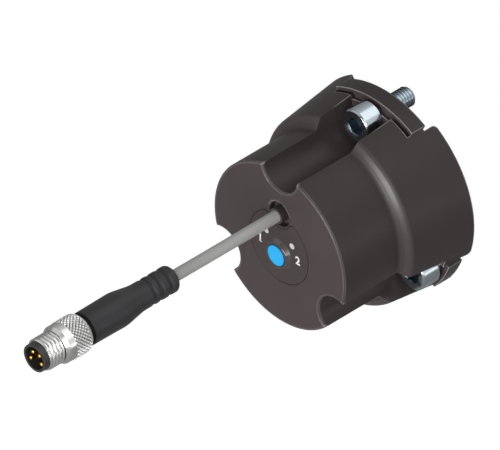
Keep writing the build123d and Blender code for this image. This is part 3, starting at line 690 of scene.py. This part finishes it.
# Plug body: black polyurethane, moulded over the cable and the contact insert, with ring grooves where
# it bends. A satin skin, faintly uneven, as soft mouldings are.
satin = {"Specular IOR Level": 0.25}
polyurethane, tree, shader = new_material("polyurethane_moulded", "#3C3B3D", 0.36, satin)
vary_colour(tree, shader, "#39383A", "#403F41", 0.003)
vary_roughness(tree, shader, 0.33, 0.42, 0.002)
grain(tree, shader, 0.0004, 0.00001)
dress(polyurethane, "plug_body")
insert, tree, shader = new_material("polyamide_moulded", "#2C2A28", 0.38)
vary_colour(tree, shader, "#292725", "#312F2C", 0.001)
grain(tree, shader, 0.0002, 0.000006)
dress(insert, "contact_carrier")

# Pins: four round contacts of brass, turned and gold plated, with rounded tips. They are pressed into
# the contact insert and stand free in its mouth.
gold, tree, shader = new_material("gold_plated", "#F0BC5A", 0.22, {"Metallic": 1.0})
vary_roughness(tree, shader, 0.17, 0.28, 0.0005)
dress(gold, "contact_pins")

# Coupling nut: a brass sleeve, turned, threaded M8 x 1 and nickel plated, that turns on the insert.
# Its grip is rolled with a diamond knurl of 1 mm, which runs out over the chamfer at its end.
nickel, tree, shader = new_material("nickel_plated_brass", "#DCDCDA", 0.22, {"Metallic": 1.0})
# The thread's and knurl's grooves are painted darker as shade.
paint_groove_shade(tree, shader, "#505050")
vary_roughness(tree, shader, 0.2, 0.26, 0.001)
grain(tree, shader, 0.0004, 0.000001)
nut_low, nut_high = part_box("coupling_nut")
nut_front, nut_end = nut_low[1], nut_high[1]
nut_centre_z = (nut_low[2] + nut_high[2]) / 2
nut_columns = 240
nut_pitch, nut_thread_depth, nut_thread_radius = 0.001, 0.00038, 0.004
nut_thread_chamfers = (1, 4)
# A plain groove at the end of the thread lets the tool run out.
nut_thread_end, thread_relief = nut_front + 0.0046, 0.00015
ring_start, ring_radius = nut_front + 0.0055, 0.00465
grip_start, grip_radius = nut_front + 0.0074, 0.0048
# Rolling leaves the grip's diamonds rougher than the turned sleeve.
grip_roughness, grip_fade = 0.42, 0.0001
place = add_node(tree, "ShaderNodeTexCoord", {})
axes = add_node(tree, "ShaderNodeSeparateXYZ", {}, {"Vector": place.outputs["Object"]})
at_grip = add_node(
    tree, "ShaderNodeMapRange", {"From Min": grip_start - grip_fade, "From Max": grip_start},
    {"Value": axes.outputs["Y"]},
)
change_roughness(tree, shader, at_grip.outputs["Result"], grip_roughness)
chamfer_start, nut_end_radius = nut_end - 0.0008, 0.0042
nut_bore, neck_bore, bore_step = 0.00351, 0.00286, nut_front + 0.00708
nut_root, sleeve_rounding = nut_thread_radius - nut_thread_depth, 0.00008
knurl_cells, knurl_depth, knurl_steps, knurl_slope = 30, 0.00036, 4, 1.8


def knurl_grid(start, end):
    """A diamond knurl round the Y axis, on a lattice of half cells whose points are high and low by
    turns. The height, from 0 to 1, is knurl_slope (1 - |u| - |v|), where u and v are the distances from
    the nearest high point in half cells. The radius is grip_radius - knurl_depth (1 - height), kept
    under a chamfer at each end."""
    half_cell = math.pi * grip_radius / knurl_cells
    row_step = half_cell / knurl_steps
    rows = int(np.ceil((end - start) / row_step)) + 1
    row = np.arange(rows)[:, None]
    column = np.arange(nut_columns)[None, :]
    up, across = row / knurl_steps, column / knurl_steps
    high_row = np.round(up)
    offset = np.where(high_row % 2 == 0, 0, 1)
    to_even = np.abs((across - offset + 1) % 2 - 1) + np.abs(up - high_row)
    other_row = np.where(up >= high_row, high_row + 1, high_row - 1)
    other = np.where(other_row % 2 == 0, 0, 1)
    to_odd = np.abs((across - other + 1) % 2 - 1) + np.abs(up - other_row)
    height = np.clip((1 - np.minimum(to_even, to_odd)) * knurl_slope, 0, 1)
    along = np.minimum(start + row * row_step, end)
    radius = grip_radius - knurl_depth * (1 - height)
    radius = np.minimum(radius, ring_radius + (along - start))
    slope = (grip_radius - nut_end_radius) / (end - chamfer_start)
    radius = np.minimum(radius, nut_end_radius + (end - along) * slope)
    points = round_grid(along, radius, nut_columns)
    faces = round_faces(rows, nut_columns)
    cell_row = np.repeat(np.arange(rows - 1) // knurl_steps, nut_columns)
    cell_column = np.tile(np.arange(nut_columns) // knurl_steps, rows - 1)
    rising = ((cell_row + cell_column) % 2 == 0)[:, None]
    first = np.where(rising, faces[:, [0, 1, 3]], faces[:, [0, 1, 2]])
    second = np.where(rising, faces[:, [1, 2, 3]], faces[:, [0, 2, 3]])
    return points, np.concatenate([first, second])


knurl_points, knurl_faces = knurl_grid(grip_start, nut_end)
knurl_first_radius = np.hypot(knurl_points[0, :, 0], knurl_points[0, :, 2])
joint_radius = np.stack([np.full(nut_columns, ring_radius), knurl_first_radius])
joint = (round_grid(np.full((2, 1), grip_start), joint_radius, nut_columns), round_faces(2, nut_columns))
sleeve_profile = rounded([
    (nut_thread_end, nut_root),
    (nut_thread_end, nut_thread_radius),
    (ring_start, ring_radius),
    (grip_start, ring_radius),
], sleeve_rounding)
bore_profile = [
    (nut_end, nut_end_radius),
    (nut_end, neck_bore),
    (bore_step, neck_bore),
    (bore_step, nut_bore),
    (nut_front, nut_bore),
    (nut_front, nut_root),
]
relief_start = nut_thread_end - thread_relief
nut_grids = [
    thread_grid(
        nut_thread_radius, nut_pitch, nut_thread_depth, nut_front, relief_start,
        nut_columns, nut_thread_chamfers,
    ),
    turned_grid([(relief_start, nut_root), (nut_thread_end, nut_root)], nut_columns),
    turned_grid(sleeve_profile, nut_columns),
    joint,
    (knurl_points, knurl_faces),
    turned_grid(bore_profile, nut_columns),
]
nut_place = np.array([0, 0, nut_centre_z])
nut_sharp_degrees = 25
nut_grids = [(points + nut_place, faces) for points, faces in nut_grids]
nut = make_piece("threaded_nut", nut_grids, nickel, nut_sharp_degrees)
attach(nut, "coupling_nut")
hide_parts("coupling_nut")

# Floor and light: a plain pale floor some way below the sensor, which is held by its drive, in a dim
# studio. A lamp in front lights the face, a tall strip at the front right draws the long highlights, and
# large soft lamps on the left and behind fill in.
floor_drop = 0.1
floor_size = 6.0
floor_mesh = bpy.data.meshes.new("floor")
half, height = floor_size / 2, cad_low[2] - floor_drop
floor_mesh.from_pydata(
    [(-half, -half, height), (half, -half, height), (half, half, height), (-half, half, height)],
    [], [(0, 1, 2, 3)],
)
paint, tree, shader = new_material("floor_pale_paint", "#B8B8B8", 0.9)
# The camera sees floor and room white. Metal and glass see the backdrop behind the sensor white too,
# while the floor and the rest of the room stay grey for them.
floor_for_camera, room_for_camera, floor_for_metal = 0.8, 0.9, 0.06


def seen_light(tree, camera_part, metal_part):
    """A strength: camera_part for camera rays plus the socket metal_part for glossy and transmission
    rays."""
    rays = add_node(tree, "ShaderNodeLightPath", {})
    mirrored = add_node(
        tree, "ShaderNodeMath", {"operation": "MAXIMUM"},
        {0: rays.outputs["Is Glossy Ray"], 1: rays.outputs["Is Transmission Ray"]},
    )
    mirrored = add_node(
        tree, "ShaderNodeMath", {"operation": "MULTIPLY"}, {0: mirrored.outputs["Value"], 1: metal_part}
    )
    return add_node(
        tree, "ShaderNodeMath", {"operation": "MULTIPLY_ADD", 1: camera_part},
        {0: rays.outputs["Is Camera Ray"], 2: mirrored.outputs["Value"]},
    ).outputs["Value"]


shader.inputs["Emission Color"].default_value = (1, 1, 1, 1)
floor_part = add_node(tree, "ShaderNodeValue", {})
floor_part.outputs["Value"].default_value = floor_for_metal
seen = seen_light(tree, floor_for_camera, floor_part.outputs["Value"])
tree.links.new(seen, shader.inputs["Emission Strength"])
floor_mesh.materials.append(paint)
floor = bpy.data.objects.new("floor", floor_mesh)
bpy.context.scene.collection.objects.link(floor)

world = bpy.data.worlds.new("studio")
bpy.context.scene.world = world
world.use_nodes = True
tree = world.node_tree
place = add_node(tree, "ShaderNodeTexCoord", {})
axes = add_node(tree, "ShaderNodeSeparateXYZ", {}, {"Vector": place.outputs["Generated"]})
# The room's light falls off towards the ceiling, by the height of the way looked, from 0 to 1.
wall_height, ceiling_height, wall_level, ceiling_level = 0.1, 0.75, 0.18, 0.12
level = add_node(
    tree, "ShaderNodeMapRange",
    {"interpolation_type": "SMOOTHSTEP", "From Min": wall_height, "From Max": ceiling_height,
     "To Min": wall_level, "To Max": ceiling_level},
    {"Value": axes.outputs["Z"]},
)
# The backdrop stands behind the sensor on the right and fades out towards the other side.
backdrop_way = (0.75, 0.6, 0.28)
backdrop_from, backdrop_to, backdrop_dim, backdrop_bright = -0.5, 0.7, 0.12, 0.8
facing = add_node(
    tree, "ShaderNodeVectorMath", {"operation": "DOT_PRODUCT", 1: backdrop_way},
    {0: place.outputs["Generated"]},
)
backdrop = add_node(
    tree, "ShaderNodeMapRange",
    {"interpolation_type": "SMOOTHSTEP", "From Min": backdrop_from, "From Max": backdrop_to,
     "To Min": backdrop_dim, "To Max": backdrop_bright},
    {"Value": facing.outputs["Value"]},
)
strength = add_node(
    tree, "ShaderNodeMath", {"operation": "ADD"},
    {0: level.outputs["Result"], 1: seen_light(tree, room_for_camera, backdrop.outputs["Result"])},
)
tree.links.new(strength.outputs["Value"], tree.nodes["Background"].inputs["Strength"])
tree.nodes["Background"].inputs["Color"].default_value = (1, 1, 1, 1)

# Each lamp: where it stands from the sensor, how far, its width and height, and its watts.
lamps = (
    ("lamp_front", (0.1, -0.99, 0.05), 1.0, (0.4, 0.4), 8.0),
    ("lamp_front_right", (0.6, -0.66, 0.42), 1.0, (0.2, 0.9), 3.0),
    ("lamp_left", (-0.5, -0.6, 0.65), 1.0, (0.9, 0.9), 1.2),
    ("lamp_behind_high", (0.25, 0.55, 0.8), 1.1, (1.0, 0.6), 1.5),
    ("lamp_behind_right", (0.83, 0.55, -0.02), 1.0, (0.6, 0.24), 0.5),
)
for name, way, distance, sides, watts in lamps:
    light = bpy.data.lights.new(name, "AREA")
    light.shape, light.size, light.size_y, light.energy = "RECTANGLE", *sides, watts
    lamp = bpy.data.objects.new(name, light)
    toward = Vector(way).normalized()
    lamp.location = Vector((0, face_y / 2, 0)) + toward * distance
    lamp.rotation_euler = (-toward).to_track_quat("-Z", "Y").to_euler()
    bpy.context.scene.collection.objects.link(lamp)
bpy.context.scene.view_settings.view_transform = "Standard"
